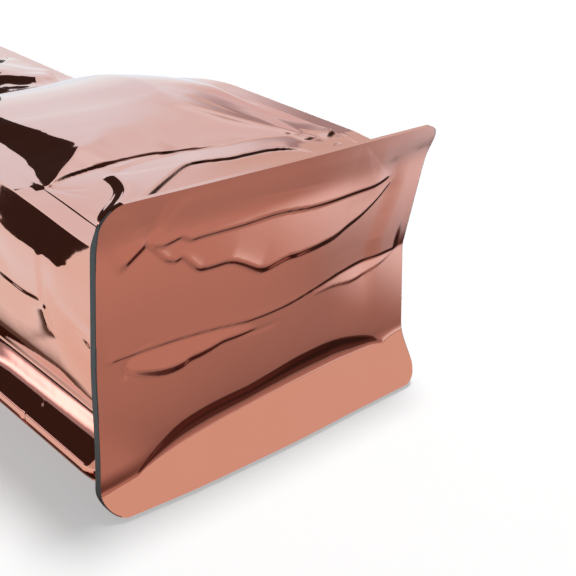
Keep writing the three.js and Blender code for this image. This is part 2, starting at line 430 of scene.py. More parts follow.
body = {
    "film": (0.55, 0.6),         # thickness of a corner seal, and its greatest share of the half depth
    "sealColumns": [0, 0.025, 0.4, 0.7, 1],
    "sealRootTop": 69.0,         # where a corner seal starts in the top seal
    "sealTipEase": (0.5, 0.2),   # how far a seal's tip stays back at the base, and how fast it comes out
    "sealStep": (0.28, 41, 33),  # by the base the corner seals lie a little under the panel
    "headerCrown": 0.2,
    "frontDip": 2.5,
    "frontTilt": 0.035,
    "backSag": 22.0,
    "gusset": [(-37, 7.7), (-34, 5.3), (-31, 2.9), (-27.5, 0.85), (-24.8, -0.55), (-23.8, -0.5),
               (-21, 0.05), (-18, 0.6), (-16.5, 0.85), (-12, 1.4), (-8.6, 1.8), (-2, 2.45), (5, 3.15),
               (12, 3.6), (18, 3.5), (22, 2.75), (27, 1.65), (32, 0.7), (37, 0)],
    "gussetEnd": (56.0, 130.0),
    "gussetFold": 0.75,
    "upperGussetStart": (-1, 29),
    "lowerGussetStart": (-8, 9),
    "lowerGussetLevel": (-16, -24),
    "rightGussetFoot": (-1.0, -0.6),
    "lowerDroop": 2.2,
    "lowerGather": 0.96,         # share of the lower left corner seal that the gusset takes in
    "closedEnd": (16.0, 0.95),   # how far in the end by the base is closed, and its share of the full size
    "front": 140, "leftGusset": 130, "rightGusset": 30, "back": 30,
    "rows": [(0, 100, 0.7), (100, 238, 2.3), (238, 342, 2.6)],
}

zipTrack = {
    "start": 286.0,
    "width": 13.0,
    "rise": 0.9,
    "edge": 1.6,
    "ridges": (2, 0.6, 0.4),   # how many, their mean height and their swing
    "ends": (1.0, 0.93),
}

# how high the filled front stands: held down at three feet, highest between them
crown = {
    "footSoft": 0.5,
    "leftFoot": [(36.5, -61), (45, -59.4), (51.5, -56.6), (56.2, -55.6), (62.3, -53.4), (73.7, -51.8),
                 (83, -51), (140, -50), (342, -50)],
    "leftReach": [(36, 20), (57, 17.6), (68, 12.8), (78, 10.3), (87, 7.6), (94, 6.4), (120, 6), (342, 6)],
    "leftRise": [(36, 3.4), (70, 3.4), (84, 3.3), (130, 1.8), (342, 1.6)],
    "leftSoft": 0.8,
    "leftSlope": 0.03,           # beyond the steep film by the left seal
    "frontFoot": [(-62, 36.4), (-58.6, 38.1), (-51.6, 41.3), (-45.6, 43.1), (-38.7, 44.9), (-30.8, 46),
                  (-24.7, 46.8), (-16.8, 47), (-10, 46.6), (-2.7, 46.8), (4.9, 45.9), (16.2, 46.4),
                  (31.4, 47.6), (58, 44), (66, 43)],
    "frontStep": (0.65, 0.3),    # at the crease: height and softness
    "stepFade": (-14, 24, 0.3),  # across the front, and the share of the step that is left
    "frontSlope": (0.25, 0.17),  # beyond the crease, at the left and further right
    "slopeFade": (-38, -20),
    "slopeEase": (12, 34, 0.2),  # how far up the slope eases, and the share that is left
    "easeSteps": (0, 320, 1281),
    "rightFoot": 50.0,
    "rightSoft": 0.8,
    "rightRise": (0.1, 0.0016),  # slope at the right foot, and how it grows away from it
    "blend": 0.14,               # softness where the three meet
    "hump": (4.9, 39.0, 30.0),   # rise, middle and reach of the broad hump
    "humpStart": (44, 100),
    "humpEase": (95, 125, 0.3),  # how far up it eases, and the share that goes
    "humpRight": (64, 48),
}

# each ripple is its height, seed and wavelength, and the spans of y where it comes and goes
frontRipples = [
    (0.10, 11, 42, (45, 90)),
    (0.46, 23, 16, (214, 232), (284, 270)),
]

frontMarks = [
    # a fine line along the long crease, the short step under it, and the crease nearer the base
    (crease, -0.11, crown["frontFoot"][1:12], 0.5, (0.02, 0.1)),
    (ledge, 0.6, [(-37, 38.7), (-29.8, 42.3), (-22.7, 44.2), (-14, 45.4), (-4.1, 45.8)], 0.5, 6, (0.2, 0.3)),
    (ledge, 0.8, [(-58, 4), (-48, 12), (-36, 20.2), (-29.6, 24.3), (-22.7, 28.5), (-12.4, 34.4),
                  (-5.5, 35.4), (6.1, 34.2), (17.6, 35), (26.5, 34.8), (35.3, 31.6), (39, 26)],
     0.42, 9, (0.1, 0.15)),
    # the ridge towards the right corner
    (ledge, 0.36, [(8.7, 89.7), (13.5, 78), (21.3, 69.7), (27.3, 63), (33, 57.9), (40.3, 51.9), (50, 42)],
     2.2, 14, (0.3, 0.15)),
    (ledge, 0.2, [(24, 98.6), (25.5, 87), (29.6, 78.5), (33, 69), (38.5, 60.4), (46, 50.2)],
     2, 14, (0.3, 0.3)),
    # the hooked fold by the left corner
    (ledge, 1.45, [(-40.4, 38), (-40.6, 34), (-41.4, 30), (-43.6, 25.4), (-47.4, 21.4), (-52, 17.8),
                   (-57, 14), (-62, 10.4)], 1.5, 9, (0.08, 0.3)),
    # the pinch and the fine creases that leave it
    (crease, -0.20, [(-60.4, 36.4), (-55, 33), (-48.5, 31.5)], 0.6, (0.15, 0.5)),
    (crease, -0.20, [(-60.4, 36), (-57, 31), (-52.5, 26.5)], 0.8, (0.15, 0.5)),
    (dimple, -0.25, (-60.2, 36.6), (1.2, 0.8), 35),
    # crumples by the right corner
    (fold, 0.75, [(43, 38.2), (46, 38.7), (52.5, 40)], 1.5, 6, (0.3, 0.6)),
    (fold, 1.1, [(52, 36), (57, 39), (62, 42), (69, 46)], 2.0, 7, (0.4, 0.2)),
    (fold, 0.5, [(68, 40.5), (65, 36.5), (61.5, 31)], 2.0, 4, (0.35, 0.35)),
    (dimple, -0.3, (53.3, 30.9), (1.6, 0.8), 10),
    # the broad fold where the filled part meets the header
    (ledge, 5.6, [(24, 249), (31, 241), (37, 234), (44, 227), (52, 218)], 8.0, 30, (0.15, 0.25)),
]

# on the left gusset, as (up the pouch, height)
gussetMarks = [
    # the long crease and the dart at its end
    (fold, 0.85, [(31.6, 3.9), (35, 3.5), (39.2, 3.1), (45.2, 2.6), (52.4, 2.8), (58.6, 2.7), (66, 2.6)],
     2.3, 10, (0.12, 0.5)),
    (fold, 1.2, [(32.4, 4.6), (31.8, 1.8), (30.7, -1.2), (28.6, -4.8), (27.4, -7)], 1.5, 6, (0.25, 0.45)),
    # the line that leaves the dart, the small wedge by the base and the short crease low down
    (crease, -0.06, [(31.5, 4.4), (22, 10.5), (14.7, 17), (10.3, 21)], 0.7, (0.1, 0.1)),
    (fold, 1.0, [(8.6, 8), (9.2, 5.6), (9.4, 3.0), (11, -1), (12, -3.5)], 1.4, 6, (0.3, 0.35)),
    (crease, -0.4, [(34, -32.4), (38, -35), (42, -38)], 0.5, (0.1, 0.1)),
]


def halfDepth(y):
    thin = mix(pouch["halfDepth"], pouch["headerHalf"], smooth(*pouch["shoulder"], y))
    return mix(thin, pouch["sealHalf"], smooth(*pouch["topSeal"], y))


def middleHeight(y):
    return pouch["headerLift"] * smooth(*pouch["shoulder"], y)


def closing(y):
    # from open film at the zip to the shut top seal
    return smooth(zipTrack["start"], pouch["topSeal"][1], y)


def sealRoot(y):
    return mix(pouch["panelHalf"], body["sealRootTop"], closing(y))


def sealTip(y):
    short, ease = body["sealTipEase"]
    return np.minimum(pouch["halfWidth"] - short + ease * y, pouch["halfWidth"])


def zipRelief(share, y):
    start, width, edge = zipTrack["start"], zipTrack["width"], zipTrack["edge"]
    track = smooth(start, start + edge, y) * smooth(start + width, start + width - edge, y)
    count, mean, swing = zipTrack["ridges"]
    ridges = mean + swing * np.cos((y - start) / width * count * 2 * math.pi)
    return zipTrack["rise"] * track * ridges * smooth(*zipTrack["ends"], np.abs(share))


def frontRelief(x, y):
    u, v = np.broadcast_arrays(x, y)
    out = pressed(u, v, frontMarks)
    for height, seed, wavelength, *spans in frontRipples:
        uneven = height * ripple(u, v, seed, wavelength)
        for span in spans:
            uneven = uneven * smooth(*span, v)
        out += uneven
    return out


def easing(steps, start, end, left):
    # distance covered when a slope eases to a share of itself
    slope = 1 - (1 - left) * smooth(start, end, steps)
    return np.concatenate([[0], np.cumsum((slope[1:] + slope[:-1]) * 0.5 * np.diff(steps))])


def crownHeight(x, y):
    # the left seal holds the film down steeply
    left = bend(x - along(crown["leftFoot"], y), crown["footSoft"])
    reach = along(crown["leftReach"], y)
    soft = crown["leftSoft"]
    steep = along(crown["leftRise"], y) / reach * -soft * np.logaddexp(-left / soft, -reach / soft)
    fromLeft = steep + crown["leftSlope"] * np.maximum(left - reach, 0)

    # the crease by the base holds it with a step and a slope
    past = y - along(crown["frontFoot"], x)
    step, soft = crown["frontStep"]
    start, end, share = crown["stepFade"]
    step = step * mix(1, share, smooth(start, end, x)) * 0.5 * (1 + np.tanh(past / soft))
    slope = mix(*crown["frontSlope"], smooth(*crown["slopeFade"], x))
    steps = np.linspace(*crown["easeSteps"])
    run = np.interp(bend(past, crown["footSoft"]), steps, easing(steps, *crown["slopeEase"]))
    fromFront = step + slope * run

    # the right side holds it gently
    right = bend(crown["rightFoot"] - x, crown["rightSoft"])
    gentle, growth = crown["rightRise"]
    fromRight = gentle * right + growth * right * right

    holds = np.stack(np.broadcast_arrays(fromLeft, fromFront, fromRight))
    lowest = np.logaddexp.reduce(holds / -crown["blend"], 0) * -crown["blend"]
    height, middle, reach = crown["hump"]
    start, end, loss = crown["humpEase"]
    hump = np.exp(-((x - middle) / reach) ** 2) * smooth(*crown["humpStart"], y)
    hump = hump * (1 - loss * smooth(start, end, y)) * smooth(*crown["humpRight"], x)
    return lowest + height * hump


def frontHeight(share, y):
    x = share * sealRoot(y)
    filled = crownHeight(x, y) * mix(1.0, body["headerCrown"], smooth(*pouch["shoulder"], y))
    filled = filled * (1 - closing(y))
    return middleHeight(y) + halfDepth(y) + filled + zipRelief(share, y) + frontRelief(x, y)


def backHeight(share, y):
    free = smooth(0, pouch["baseReach"], y) * (1 - closing(y))
    sag = body["backSag"] * free * halfDepth(y) / pouch["halfDepth"] * (1 - share ** 4)
    low = middleHeight(y) - halfDepth(y) - sag - zipRelief(share, y)
    return np.maximum(low, -pouch["restDepth"])


def gussetSpan(y):
    # the filled length over which the gusset keeps its full shape
    return 1 - smooth(*body["gussetEnd"], y)


def gussetReach(share, y, side):
    half = halfDepth(y)
    tuck = np.sqrt(np.maximum(pouch["halfDepth"] ** 2 - half ** 2, 0)) * body["gussetFold"]
    tuck = tuck * (1 - smooth(*pouch["topSeal"], y)) * (1 - np.abs(share))
    level = share * pouch["halfDepth"]
    upper = smooth(*body["upperGussetStart"], y)
    lower = smooth(*body["lowerGussetStart"], y)
    onset = mix(upper, lower, smooth(*body["lowerGussetLevel"], level))
    swell = along(body["gusset"], level) * gussetSpan(y) * onset
    if side > 0:
        return sealRoot(y) - tuck + swell * smooth(*body["rightGussetFoot"], share)
    u, v = np.broadcast_arrays(y, share * half)
    return sealRoot(y) - tuck + swell + pressed(u, v, gussetMarks)


def shares(start, end, columns):
    # evenly spaced across a panel, without its last edge
    return np.linspace(start, end, columns, endpoint=False)[None, :]


def makeBody(material):
    stations = np.concatenate([np.arange(a, b, step) for a, b, step in body["rows"]])
    y = np.append(stations, pouch["length"])[:, None]
    half, mid, root, tip = halfDepth(y), middleHeight(y), sealRoot(y), sealTip(y)
    thickness, mostShare = body["film"]
    film = np.minimum(thickness, mostShare * half)
    out = np.array(body["sealColumns"])[None, :]
    strips = []

    def strip(x, z):
        strips.append(np.stack(np.broadcast_arrays(x + 0 * y, y, z + 0 * y), -1))

    def fin(side, height, outFirst, droop=0.0, gather=0.0, step=0.0):
        # a corner seal's two faces, out to the tip along one and back along the other
        first, second = (0, film) if outFirst else (film, 0)
        height = height - step * (out > 0)
        strip(side * mix(root, tip, out), height - droop * out - first)
        back = mix(gather, 1, out[:, :0:-1])
        strip(side * mix(root, tip, back), height[:, :0:-1] - droop * back - second)

    front = shares(-1, 1, body["front"])
    strip(front * root, frontHeight(front, y))
    under, none, full = body["sealStep"]
    step = under * smooth(none, full, y)
    fin(1, mid + half, True, step=step)
    down = shares(1, -1, body["rightGusset"])
    strip(gussetReach(down, y, 1), mid + down * (half - film))
    fin(1, mid - half + film, True)
    back = shares(1, -1, body["back"])
    strip(back * root, backHeight(back, y))
    hang = smooth(*body["lowerGussetStart"], y) * gussetSpan(y)
    fin(-1, mid - half + film, False, body["lowerDroop"] * hang, body["lowerGather"] * hang)
    up = shares(-1, 1, body["leftGusset"])
    strip(-gussetReach(up, y, -1), mid + up * (half - film))
    fin(-1, mid + half, False, step=step)

    # near the base the tube follows the base panel
    ring = np.concatenate(strips, 1)
    x, lengthways, z = ring[..., 0], ring[..., 1], ring[..., 2]
    rise = (np.clip((z - mid) / half, -1, 1) + 1) / 2
    follow = 1 - smooth(0, pouch["baseReach"], lengthways)
    z = z - rise * (body["frontDip"] * follow + body["frontTilt"] * x * half / pouch["halfDepth"])
    lengthways = lengthways + (baseDepth(x, z) + basePanel["thickness"] * 0.5) * follow
    points = toFrame(x, lengthways, z)
    rows, columns = x.shape
    i, j = np.mgrid[0:rows - 1, 0:columns]
    a, b = i * columns + j, i * columns + (j + 1) % columns
    faces = list(np.stack([a, b, b + columns, a + columns], -1).reshape(-1, 4))
    faces.append(np.arange(columns) + (rows - 1) * columns)

    # the end by the base is closed well inside, behind the pushed-in fold
    depth, share = body["closedEnd"]
    inner = toFrame(share * x[0], depth + 0 * x[0], share * z[0])
    first = rows * columns
    j = np.arange(columns)
    after = (j + 1) % columns
    faces += list(np.stack([first + j, first + after, after, j], -1))
    faces.append(first + j[::-1])
    return newPiece("film_body", np.vstack([points, inner]), faces, material)


# Materials

def linear(code):
    channels = [int(code[i:i + 2], 16) / 255 for i in (1, 3, 5)]
    return [c / 12.92 if c <= 0.04045 else ((c + 0.055) / 1.055) ** 2.4 for c in channels] + [1.0]


def addNode(tree, kind, values=None, links=None, **settings):
    made = tree.nodes.new(kind)
    for key, value in settings.items():
        setattr(made, key, value)
    for key, value in (values or {}).items():
        made.inputs[key].default_value = value
    for key, source in (links or {}).items():
        tree.links.new(source, made.inputs[key])
    return made


def setStops(ramp, stops):
    elements = ramp.color_ramp.elements
    elements.remove(elements[1])
    for i, (at, colour) in enumerate(stops):
        element = elements.new(at) if i else elements[0]
        element.position = at
        element.color = (*colour, 1)


def newMaterial(name):
    material = bpy.data.materials.new(name)
    material.use_nodes = True
    material.node_tree.nodes.clear()
    return material, material.node_tree


def glowing(name, paint, tint=(1, 1, 1)):
    # a surface that only glows, painted by its place
    material, tree = newMaterial(name)
    place = addNode(tree, "ShaderNodeTexCoord").outputs["Object"]
    axes = addNode(tree, "ShaderNodeSeparateXYZ", links={"Vector": place}).outputs
    glow = addNode(tree, "ShaderNodeEmission", {"Color": (*tint, 1)}, paint(tree, axes))
    addNode(tree, "ShaderNodeOutputMaterial", links={"Surface": glow.outputs[0]})
    return material


copperFilm = {
    "colour": "#E7957A",
    "colourDeep": "#E48F73",
    "mottle": 38.0,            # mm, uneven metal deposit in the laminate
    "peel": 5.0,               # mm, faint waviness of laminated film
    "bump": (0.02, 0.001),     # strength, and depth in metres
    "roughness": (0.035, 0.065),
    "web": (1.0, 0.03, 1.5),   # clear outer web: weight, roughness and IOR
}


def metallisedFilm():
    # vacuum-metallised polyester laminate: mirror-like with a warm metal tint and a clear outer web
    material, tree = newMaterial("metallised_copper_film")
    place = addNode(tree, "ShaderNodeTexCoord").outputs["Object"]
    mottle = addNode(tree, "ShaderNodeTexNoise", {"Scale": 1000 / copperFilm["mottle"], "Detail": 3.0},
                     {"Vector": place})
    peel = addNode(tree, "ShaderNodeTexNoise", {"Scale": 1000 / copperFilm["peel"], "Detail": 1.0},
                   {"Vector": place})
    colour = addNode(tree, "ShaderNodeMix",
                     {"A": linear(copperFilm["colour"]), "B": linear(copperFilm["colourDeep"])},
                     {"Factor": mottle.outputs["Fac"]}, data_type="RGBA")
    low, high = copperFilm["roughness"]
    rough = addNode(tree, "ShaderNodeMapRange", {"To Min": low, "To Max": high},
                    {"Value": mottle.outputs["Fac"]})
    strength, depth = copperFilm["bump"]
    bump = addNode(tree, "ShaderNodeBump", {"Strength": strength, "Distance": depth},
                   {"Height": peel.outputs["Fac"]})
    weight, webRoughness, webIor = copperFilm["web"]
    shader = addNode(tree, "ShaderNodeBsdfPrincipled",
                     {"Metallic": 1.0, "Coat Weight": weight, "Coat Roughness": webRoughness,
                      "Coat IOR": webIor},
                     {"Base Color": colour.outputs["Result"], "Roughness": rough.outputs["Result"],
                      "Normal": bump.outputs["Normal"]})
    addNode(tree, "ShaderNodeOutputMaterial", links={"Surface": shader.outputs["BSDF"]})
    return material


cutStock = {
    "colours": ("#32322F", "#464542"),
    "layers": 1.2,             # mm, coarser than the real layers, which are too fine to show
    "bump": (0.2, 0.0002),     # strength, and depth in metres
    "roughness": 0.55,
}


def cutLaminate():
    # the knife-cut edge of stacked film and foil: matt, dark and greenish grey
    material, tree = newMaterial("knife_cut_laminate_edge")
    place = addNode(tree, "ShaderNodeTexCoord").outputs["Object"]
    layers = addNode(tree, "ShaderNodeTexNoise", {"Scale": 1000 / cutStock["layers"], "Detail": 2.0},
                     {"Vector": place})
    dark, light = cutStock["colours"]
    colour = addNode(tree, "ShaderNodeMix", {"A": linear(dark), "B": linear(light)},
                     {"Factor": layers.outputs["Fac"]}, data_type="RGBA")
    strength, depth = cutStock["bump"]
    bump = addNode(tree, "ShaderNodeBump", {"Strength": strength, "Distance": depth},
                   {"Height": layers.outputs["Fac"]})
    shader = addNode(tree, "ShaderNodeBsdfPrincipled", {"Roughness": cutStock["roughness"]},
                     {"Base Color": colour.outputs["Result"], "Normal": bump.outputs["Normal"]})
    addNode(tree, "ShaderNodeOutputMaterial", links={"Surface": shader.outputs["BSDF"]})
    return material


# Ribs that the sealing jaws leave across the top seal, on both faces

sealRibs = {
    "start": 320.0,
    "pitch": 2.1,
    "count": 10,
    "length": 133.0,
    "radius": 0.4,
    "sides": 12,
    "sunk": 0.15,
}


def ribTree():
    tree = bpy.data.node_groups.new("seal_ribs", "GeometryNodeTree")
    tree.interface.new_socket("Geometry", in_out="OUTPUT", socket_type="NodeSocketGeometry")
    names = {"Start": "Vector", "Length": "Float", "Radius": "Float", "Pitch": "Float", "Count": "Int",
             "Material": "Material"}
    sockets = {}
    for name, kind in names.items():
        made = tree.interface.new_socket(name, in_out="INPUT", socket_type="NodeSocket" + kind)
        sockets[name] = made.identifier
    given = addNode(tree, "NodeGroupInput").outputs
    far = addNode(tree, "ShaderNodeCombineXYZ", links={"X": given["Length"]})
    line = addNode(tree, "GeometryNodeCurvePrimitiveLine", links={"End": far.outputs[0]})
    section = addNode(tree, "GeometryNodeCurvePrimitiveCircle", {"Resolution": sealRibs["sides"]},
                      {"Radius": given["Radius"]})
    rib = addNode(tree, "GeometryNodeCurveToMesh", {"Fill Caps": True},
                  {"Curve": line.outputs[0], "Profile Curve": section.outputs[0]})
    apart = addNode(tree, "ShaderNodeCombineXYZ", links={"Y": given["Pitch"]})
    rows = addNode(tree, "GeometryNodeMeshLine",
                   links={"Count": given["Count"], "Start Location": given["Start"],
                          "Offset": apart.outputs[0]})
    spread = addNode(tree, "GeometryNodeInstanceOnPoints",
                     links={"Points": rows.outputs[0], "Instance": rib.outputs[0]})
    real = addNode(tree, "GeometryNodeRealizeInstances", links={"Geometry": spread.outputs[0]})
    dressed = addNode(tree, "GeometryNodeSetMaterial",
                      links={"Geometry": real.outputs[0], "Material": given["Material"]})
    addNode(tree, "NodeGroupOutput", links={"Geometry": dressed.outputs[0]})
    return tree, sockets


def makeRibs(name, side, tree, sockets, material):
    height = pouch["headerLift"] + side * (pouch["sealHalf"] - sealRibs["sunk"])
    values = {
        "Start": toFrame(-sealRibs["length"] / 2, sealRibs["start"], height)[0],
        "Length": sealRibs["length"] / 1000,
        "Radius": sealRibs["radius"] / 1000,
        "Pitch": sealRibs["pitch"] / 1000,
        "Count": sealRibs["count"],
        "Material": material,
    }
    carrier = bpy.data.objects.new(name, bpy.data.meshes.new(name))
    bpy.context.scene.collection.objects.link(carrier)
    ribs = carrier.modifiers.new("ribs", "NODES")
    ribs.node_group = tree
    for key, value in values.items():
        ribs[sockets[key]] = value
    evaluated = carrier.evaluated_get(bpy.context.evaluated_depsgraph_get())
    mesh = bpy.data.meshes.new_from_object(evaluated)
    carrier.modifiers.clear()
    carrier.data = mesh
    mesh.name = name
    mesh.set_sharp_from_angle(angle=math.radians(pouch["sharpAngle"]))
    return carrier


copper = metallisedFilm()
cutEdge = cutLaminate()
filmBody = makeBody(copper)
print("film body", len(filmBody.data.polygons), "faces")
basePlate = makeBasePanel(copper)
print("base panel", len(basePlate.data.polygons), "faces")
cutEdges = [makeBaseRim(-1, "left_cut_edge", cutEdge), makeBaseRim(1, "right_cut_edge", cutEdge)]
print("cut edges", sum(len(e.data.polygons) for e in cutEdges), "faces")

tree, sockets = ribTree()
ribSides = {"front_seal_ribs": 1, "back_seal_ribs": -1}
ribs = [makeRibs(name, side, tree, sockets, copper) for name, side in ribSides.items()]
print("seal ribs", sum(len(r.data.polygons) for r in ribs), "faces")

for piece in (filmBody, basePlate, *cutEdges, *ribs):
    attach(piece, "root")
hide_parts("pouch")

# Camera, floor and light; from here on sizes are in metres, but for the camera's place

shot = {
    "place": (-213.869, -222.412, 153.976),
    "azimuth": -44.367,
    "elevation": 25.714,
    "roll": 4.572,
    "lens": 67.534,
    "sensor": 36,
}


def makeCamera():
    a, e, r = (math.radians(shot[k]) for k in ("azimuth", "elevation", "roll"))
    back = Vector((math.sin(a) * math.cos(e), -math.cos(a) * math.cos(e), math.sin(e)))
    right = Vector((0, 0, 1)).cross(back).normalized()
    up = back.cross(right)
    turnedRight = right * math.cos(r) + up * math.sin(r)
    turnedUp = up * math.cos(r) - right * math.sin(r)
    data = bpy.data.cameras.new("camera")
    data.lens = shot["lens"]
    data.sensor_width = shot["sensor"]
    camera = bpy.data.objects.new("camera", data)
    matrix = Matrix((turnedRight, turnedUp, back)).transposed().to_4x4()
    matrix.translation = toFrame(*shot["place"])[0]
    camera.matrix_world = matrix
    bpy.context.scene.collection.objects.link(camera)
    bpy.context.scene.camera = camera


room = {
    "fill": 0.2,                      # even light from all round
    "mirrored": (0.04, 0.028, 0.025),  # what the film mirrors where nothing stands
    "seen": (1, 1, 1),
    "aim": (0.06, 0.05),              # what the walls stand round: up the pouch from its base, and height
}


def makeRoom():
    world = bpy.data.worlds.new("studio")
    bpy.context.scene.world = world
    world.use_nodes = True
    world.node_tree.nodes.clear()
    tree = world.node_tree
    path = addNode(tree, "ShaderNodeLightPath")
    fill = addNode(tree, "ShaderNodeBackground", {"Strength": room["fill"]})
    dark = addNode(tree, "ShaderNodeBackground", {"Color": (*room["mirrored"], 1)})
    seen = addNode(tree, "ShaderNodeBackground", {"Color": (*room["seen"], 1)})
    around = addNode(tree, "ShaderNodeMixShader",
                     links={0: path.outputs["Is Glossy Ray"], 1: fill.outputs[0], 2: dark.outputs[0]})
    both = addNode(tree, "ShaderNodeMixShader",
                   links={0: path.outputs["Is Camera Ray"], 1: around.outputs[0], 2: seen.outputs[0]})
    addNode(tree, "ShaderNodeOutputWorld", links={"Surface": both.outputs[0]})
    world.cycles.sampling_method = "NONE"


paper = {
    "colour": "#C8C8C8",
    "lift": 0.42,          # glow by the pouch
    "white": (0.26, 0.6),  # from the middle, where that glow grows to full
    "radius": 6.0,
    "sides": 96,
    "height": -0.0004,
}


def paperFloor():
    # seamless paper, lifted a little by a painted glow so that shadows on it stay light; the glow is weaker
    # by the pouch and full further out
    material, tree = newMaterial("paper_floor")
    matt = addNode(tree, "ShaderNodeBsdfDiffuse", {"Color": linear(paper["colour"])})
    place = addNode(tree, "ShaderNodeTexCoord").outputs["Object"]
    apart = addNode(tree, "ShaderNodeVectorMath", links={0: place}, operation="LENGTH")
    near, far = paper["white"]
    outward = addNode(tree, "ShaderNodeMapRange",
                      {"From Min": near, "From Max": far, "To Min": paper["lift"]},
                      {"Value": apart.outputs["Value"]}, interpolation_type="SMOOTHSTEP")
    lift = addNode(tree, "ShaderNodeEmission", links={"Strength": outward.outputs["Result"]})
    both = addNode(tree, "ShaderNodeAddShader", links={0: matt.outputs[0], 1: lift.outputs[0]})
    addNode(tree, "ShaderNodeOutputMaterial", links={"Surface": both.outputs[0]})
    return material


def makeFloor():
    angles = np.linspace(0, 2 * math.pi, paper["sides"], endpoint=False)
    x, y = paper["radius"] * np.cos(angles), paper["radius"] * np.sin(angles)
    points = np.stack([x, y, 0 * angles + paper["height"]], -1)
    floor = newPiece("floor", points, [np.arange(paper["sides"])], paperFloor())
    floor.visible_glossy = False
    return floor


tableTop = {
    "height": -0.0003,
    "outline": [(1.3, -0.9), (1.3, 1.0), (-0.5, 1.0), (-0.29, 0.24), (-0.24, 0.14), (-0.235, 0.08),
                (-0.23, 0.03), (-0.255, 0.042), (-0.281, 0.058), (-0.31, 0.08), (-0.345, 0.1),
                (-0.42, 0.125), (-0.42, -0.19), (-0.09, -0.19), (-0.09, -0.9)],
    "tint": (0.97, 0.8, 0.79),
    "reach": 0.14,  # how far out from the base the glow grows out of its painted shadow
    # the glow stands in for the lit table, darkest by the base: a painted contact shadow
    "glow": [(0.0, 0.02), (0.1, 0.035), (0.14, 0.07), (0.185, 0.30), (0.25, 0.38), (0.34, 0.42),
             (0.6, 0.5), (1.0, 0.6)],
    # painted light and shade over the glow: axis, where it sets in, where it is full, and colour, one over
    # the other
    "paintedLightAndShade": [
        # painted light to the right, painted shade to the left
        ("X", 0.12, 0.24, (0.9, 1.1, 1.28)),
        ("X", -0.02, -0.05, (0.5, 0.4, 0.39)),
        # painted contact shadow just in front of the base
        ("Y", -0.190, -0.181, (0.10, 0.05, 0.045)),
        ("Y", -0.181, -0.175, (0.035, 0.02, 0.017)),
        # painted light further back
        ("Y", -0.1, 0.05, (0.8, 0.84, 0.9)),
        # painted shadow beside the pouch's left side, then painted light further out
        ("X", -0.06, -0.07, (0.12, 0.08, 0.06)),
        ("X", -0.077, -0.087, (0.9, 0.95, 0.95)),
        ("X", -0.10, -0.13, (0.92, 1.2, 1.36)),
    ],
}


def shadedTable(tree, axes):
    # the table as the film mirrors it, a glow with painted light and shade: bright beside the pouch, with a
    # painted shadow that darkens the nearer it lies to the base
    basePlane = baseShift / 1000
    ahead = addNode(tree, "ShaderNodeMapRange",
                    {"From Min": basePlane, "From Max": basePlane - tableTop["reach"]},
                    {"Value": axes["Y"]})
    ramp = addNode(tree, "ShaderNodeValToRGB", links={"Fac": ahead.outputs["Result"]})
    setStops(ramp, [(at, [glow * c for c in tableTop["tint"]]) for at, glow in tableTop["glow"]])
    toned = ramp.outputs["Color"]
    for axis, start, full, colour in tableTop["paintedLightAndShade"]:
        share = addNode(tree, "ShaderNodeMapRange", {"From Min": start, "From Max": full},
                        {"Value": axes[axis]}, interpolation_type="SMOOTHSTEP")
        mixed = addNode(tree, "ShaderNodeMix", {"B": (*colour, 1)},
                        {"Factor": share.outputs["Result"], "A": toned}, data_type="RGBA")
        toned = mixed.outputs["Result"]
    return {"Color": toned}


def makeTable():
    outline = np.array([(x, y, tableTop["height"]) for x, y in tableTop["outline"]])
    material = glowing("table_top", shadedTable)
    table = newPiece("table_top", outline, [np.arange(len(outline))], material)
    table.visible_camera = False
    table.visible_diffuse = False
    table.visible_shadow = False
    return table


# Walls and a tube that only the film shows. Compass angles run from the far end of the pouch to its right.

def band(name, compass, foot, top, away, aim, material):
    # an upright strip round the pouch
    turn = np.radians(compass)
    low = np.stack([np.sin(turn) * away + aim.x, np.cos(turn) * away + aim.y, 0 * turn + foot], -1)
    high = low.copy()
    high[:, 2] = top
    i = np.flatnonzero(np.diff(compass) > 0)
    n = len(compass)
    faces = list(np.stack([i, i + 1, i + n + 1, i + n], -1))
    piece = newPiece(name, np.vstack([low, high]), faces, material)
    piece.visible_camera = False
    piece.visible_diffuse = False


def heightTint(tree, height, tints):
    bottom, top = tints[0][0], tints[-1][0]
    up = addNode(tree, "ShaderNodeMapRange", {"From Min": bottom, "From Max": top}, {"Value": height})
    tint = addNode(tree, "ShaderNodeValToRGB", links={"Fac": up.outputs["Result"]})
    setStops(tint, [((at - bottom) / (top - bottom), colour) for at, colour in tints])
    return tint.outputs["Color"]


# the lit wall of the light tent, low on the left and tall on the right
tentWall = {
    "compass": (24.5, 74),
    "tallFrom": 29,
    "columns": (16, 28),  # in the low and in the tall part
    "low": 26,            # degrees up to its top edge
    "tall": 50,
    "distance": 1.2,
    "foot": -0.06,
    # glow with height
    "tints": [(-0.06, (0.87, 0.9, 0.92)), (0.2, (0.86, 0.94, 0.98)), (0.5, (0.84, 1.03, 1.18)),
              (0.86, (0.85, 1.06, 1.22)), (1.0, (0.91, 1.28, 1.55)), (1.08, (0.9, 1.25, 1.5)),
              (1.2, (0.5, 0.55, 0.62)), (1.5, (0.06, 0.045, 0.04))],
    # painted shade, a dimmer and warmer glow at the right: colour, where it sets in across the wall, from
    # and up to what height
    "shades": [
        ((0.9, 0.78, 0.76), (0.76, 0.84), (-0.3, -0.2), (0.75, 0.52)),
        ((0.95, 0.76, 0.72), (0.66, 0.84), (-0.3, -0.2), (0.36, 0.26)),
        ((0.94, 0.82, 0.71), (0.78, 0.86), (0.38, 0.46), (0.75, 0.58)),
        ((0.56, 0.47, 0.46), (0.815, 0.89), (0.31, 0.355), (0.45, 0.405)),
        ((0.06, 0.045, 0.04), (0.985, 1.1), (-0.3, -0.2), (4.0, 3.0)),
    ],
}


